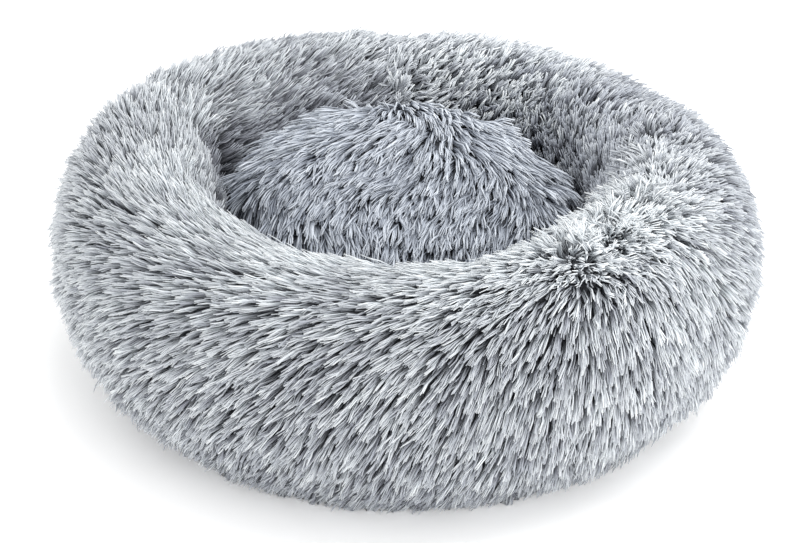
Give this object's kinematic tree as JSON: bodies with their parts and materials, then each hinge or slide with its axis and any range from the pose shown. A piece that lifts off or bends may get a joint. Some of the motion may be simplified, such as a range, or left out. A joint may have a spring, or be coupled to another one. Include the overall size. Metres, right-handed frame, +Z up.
{
  "type": "pet cushion bed",
  "caption": "Round shaggy fur pet bed: a plump stuffed ring wall around a loose domed cushion, on an anti-slip cloth base with a zip underneath.",
  "frame": {"origin": "on the floor under the centre of the ring", "axes": "+Z up, -Y towards the front as pictured, +X to the right seen from the front"},
  "size_m": [0.5999, 0.6, 0.205],
  "materials": {
    "ring_fur": "matte",
    "cushion_fur": "matte",
    "base_cloth": "matte",
    "lining_cloth": "matte",
    "liner": "matte",
    "fibre_filling": "matte",
    "zip_tape": "matte",
    "zip_teeth": "satin",
    "zip_metal": "satin",
    "label_tape": "satin"
  },
  "bodies": {
    "bed": {"ring_fur_panel_left": "ring_fur", "ring_fur_panel_right": "ring_fur", "ring_liner": "liner", "ring_filling": "fibre_filling", "base_ring_panel": "base_cloth", "base_middle_front": "base_cloth", "base_middle_rear": "base_cloth", "nest_floor_panel": "lining_cloth", "care_label": "label_tape", "zip_tape_front": "zip_tape", "zip_tape_rear": "zip_tape", "zip_teeth_front": "zip_teeth", "zip_teeth_rear": "zip_teeth", "zip_top_stops": "zip_metal", "zip_bottom_stop": "zip_metal"},
    "cushion": {"cushion_fur_cover": "cushion_fur", "cushion_base_cover": "lining_cloth", "cushion_liner": "liner", "cushion_filling": "fibre_filling"},
    "slider": {"zip_slider": "zip_metal"},
    "pull": {"zip_pull": "zip_metal"}
  },
  "joints": [
    {"name": "cushion_lift", "type": "slide", "parent": "bed", "child": "cushion", "axis": [0, 0, 1], "range_m": [0, 0.24]},
    {"name": "zip_slide", "type": "slide", "parent": "bed", "child": "slider", "axis": [-1, 0, 0], "range_m": [0, 0.268]},
    {"name": "zip_pull_swing", "type": "hinge", "parent": "slider", "child": "pull", "pos_m": [0.134, 0, 0.0062], "axis": [0, -1, 0], "range_deg": [0, 160]}
  ]
}
